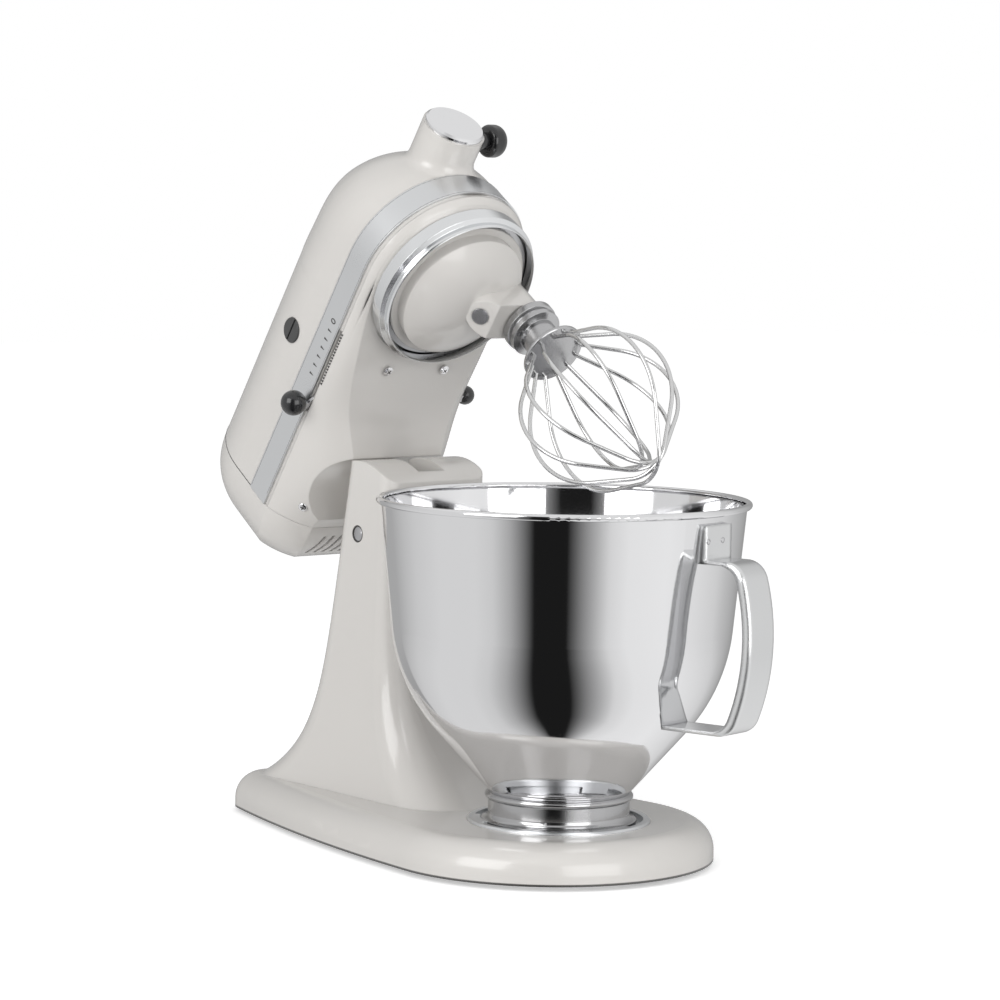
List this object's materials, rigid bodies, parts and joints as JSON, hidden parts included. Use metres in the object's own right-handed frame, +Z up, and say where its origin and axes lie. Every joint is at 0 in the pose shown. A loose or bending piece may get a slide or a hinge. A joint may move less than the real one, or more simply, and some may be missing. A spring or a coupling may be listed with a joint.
{
  "type": "stand mixer",
  "caption": "Tilt-head stand mixer with its head tilted back, a polished steel bowl with a strap handle and a wire whip fitted.",
  "frame": {"origin": "on the counter under the feet, on the axis of the bowl", "axes": "+X towards the attachment hub end, +Y to the side of the attachment knob, +Z up"},
  "size_m": [0.4548, 0.2234, 0.4501],
  "materials": {
    "body_paint": "gloss",
    "polished_steel": "polished",
    "satin_metal": "satin",
    "black_plastic": "gloss",
    "soft_rubber": "matt",
    "plain_steel": "satin",
    "bronze": "satin",
    "motor_iron": "matt",
    "bracket_alloy": "satin",
    "dark_plastic": "matt"
  },
  "bodies": {
    "stand": {"stand_casting": "body_paint", "rubber_feet": "soft_rubber", "hinge_pin": "polished_steel", "bowl_clamp_plate": "plain_steel", "clamp_screws": "plain_steel"},
    "bowl": {"bowl_shell": "polished_steel", "bowl_foot": "polished_steel", "bowl_handle": "polished_steel"},
    "head": {"upper_housing": "body_paint", "lower_gearcase": "body_paint", "rear_cover": "body_paint", "trim_band": "satin_metal", "drip_ring": "satin_metal", "brush_caps": "black_plastic", "case_screws": "polished_steel", "ring_gear": "plain_steel", "centre_bush": "bronze", "hub_bearing": "bronze", "stator": "motor_iron", "front_bracket": "bracket_alloy", "rear_bracket": "bracket_alloy", "front_bearing": "plain_steel", "rear_bearing": "plain_steel", "motor_brushes": "bronze", "speed_board": "dark_plastic"},
    "hub_cap": {"hub_cap": "polished_steel"},
    "attachment_knob": {"attachment_knob": "black_plastic"},
    "speed_lever": {"speed_lever": "plain_steel", "speed_ball": "black_plastic"},
    "lock_lever": {"lock_lever": "plain_steel", "lock_ball": "black_plastic"},
    "planetary": {"planetary_housing": "body_paint", "planetary_plug": "polished_steel", "centre_shaft": "plain_steel", "centre_gear": "plain_steel", "centre_bevel_gear": "plain_steel"},
    "beater": {"pinion_gear": "plain_steel", "beater_shaft": "plain_steel", "beater_pin": "plain_steel", "whip_hub": "satin_metal", "whip_wires": "plain_steel"},
    "intermediate": {"wheel_shaft": "plain_steel", "worm_wheel": "bronze", "spur_pinion": "plain_steel"},
    "motor": {"armature": "motor_iron", "commutator": "bronze", "motor_fan": "dark_plastic"},
    "hub_drive": {"hub_drive": "plain_steel"}
  },
  "joints": [
    {"name": "head_tilt", "type": "hinge", "parent": "stand", "child": "head", "pos_m": [-0.1515, 0, 0.1863], "axis": [0, -1, 0], "range_deg": [-55.5, 0]},
    {"name": "bowl_twist", "type": "hinge", "parent": "stand", "child": "bowl", "pos_m": [0, 0, 0.03], "axis": [0, 0, 1], "range_deg": [-40, 0]},
    {"name": "hub_cap_pull", "type": "slide", "parent": "head", "child": "hub_cap", "axis": [0.5664, 0, 0.8241], "range_m": [0, 0.03]},
    {"name": "knob_turn", "type": "hinge", "parent": "head", "child": "attachment_knob", "pos_m": [-0.11591, 0, 0.43], "axis": [0, 1, 0], "range_deg": [0, 360]},
    {"name": "speed_slide", "type": "slide", "parent": "head", "child": "speed_lever", "axis": [0.5664, 0, 0.8241], "range_m": [0, 0.045]},
    {"name": "lock_slide", "type": "slide", "parent": "head", "child": "lock_lever", "axis": [0.5664, 0, 0.8241], "range_m": [0, 0.01]},
    {"name": "planetary_spin", "type": "hinge", "parent": "head", "child": "planetary", "pos_m": [-0.10665, 0, 0.33931], "axis": [-0.8241, 0, 0.5664], "continuous": true},
    {"name": "beater_spin", "type": "hinge", "parent": "planetary", "child": "beater", "pos_m": [-0.07698, 0.033, 0.31891], "axis": [-0.8241, 0, 0.5664], "continuous": true},
    {"name": "intermediate_spin", "type": "hinge", "parent": "head", "child": "intermediate", "pos_m": [-0.15438, 0.027, 0.31223], "axis": [-0.8241, 0, 0.5664], "continuous": true},
    {"name": "motor_spin", "type": "hinge", "parent": "head", "child": "motor", "pos_m": [-0.21191, 0, 0.29031], "axis": [0.5664, 0, 0.8241], "continuous": true},
    {"name": "hub_drive_spin", "type": "hinge", "parent": "head", "child": "hub_drive", "pos_m": [-0.13262, 0, 0.40569], "axis": [0.5664, 0, 0.8241], "continuous": true}
  ],
  "couplings": [
    {"joint": "beater_spin", "follows": "planetary_spin", "ratio": -3.75},
    {"joint": "intermediate_spin", "follows": "planetary_spin", "ratio": -2.75},
    {"joint": "motor_spin", "follows": "planetary_spin", "ratio": 33},
    {"joint": "hub_drive_spin", "follows": "planetary_spin", "ratio": 1.5}
  ]
}
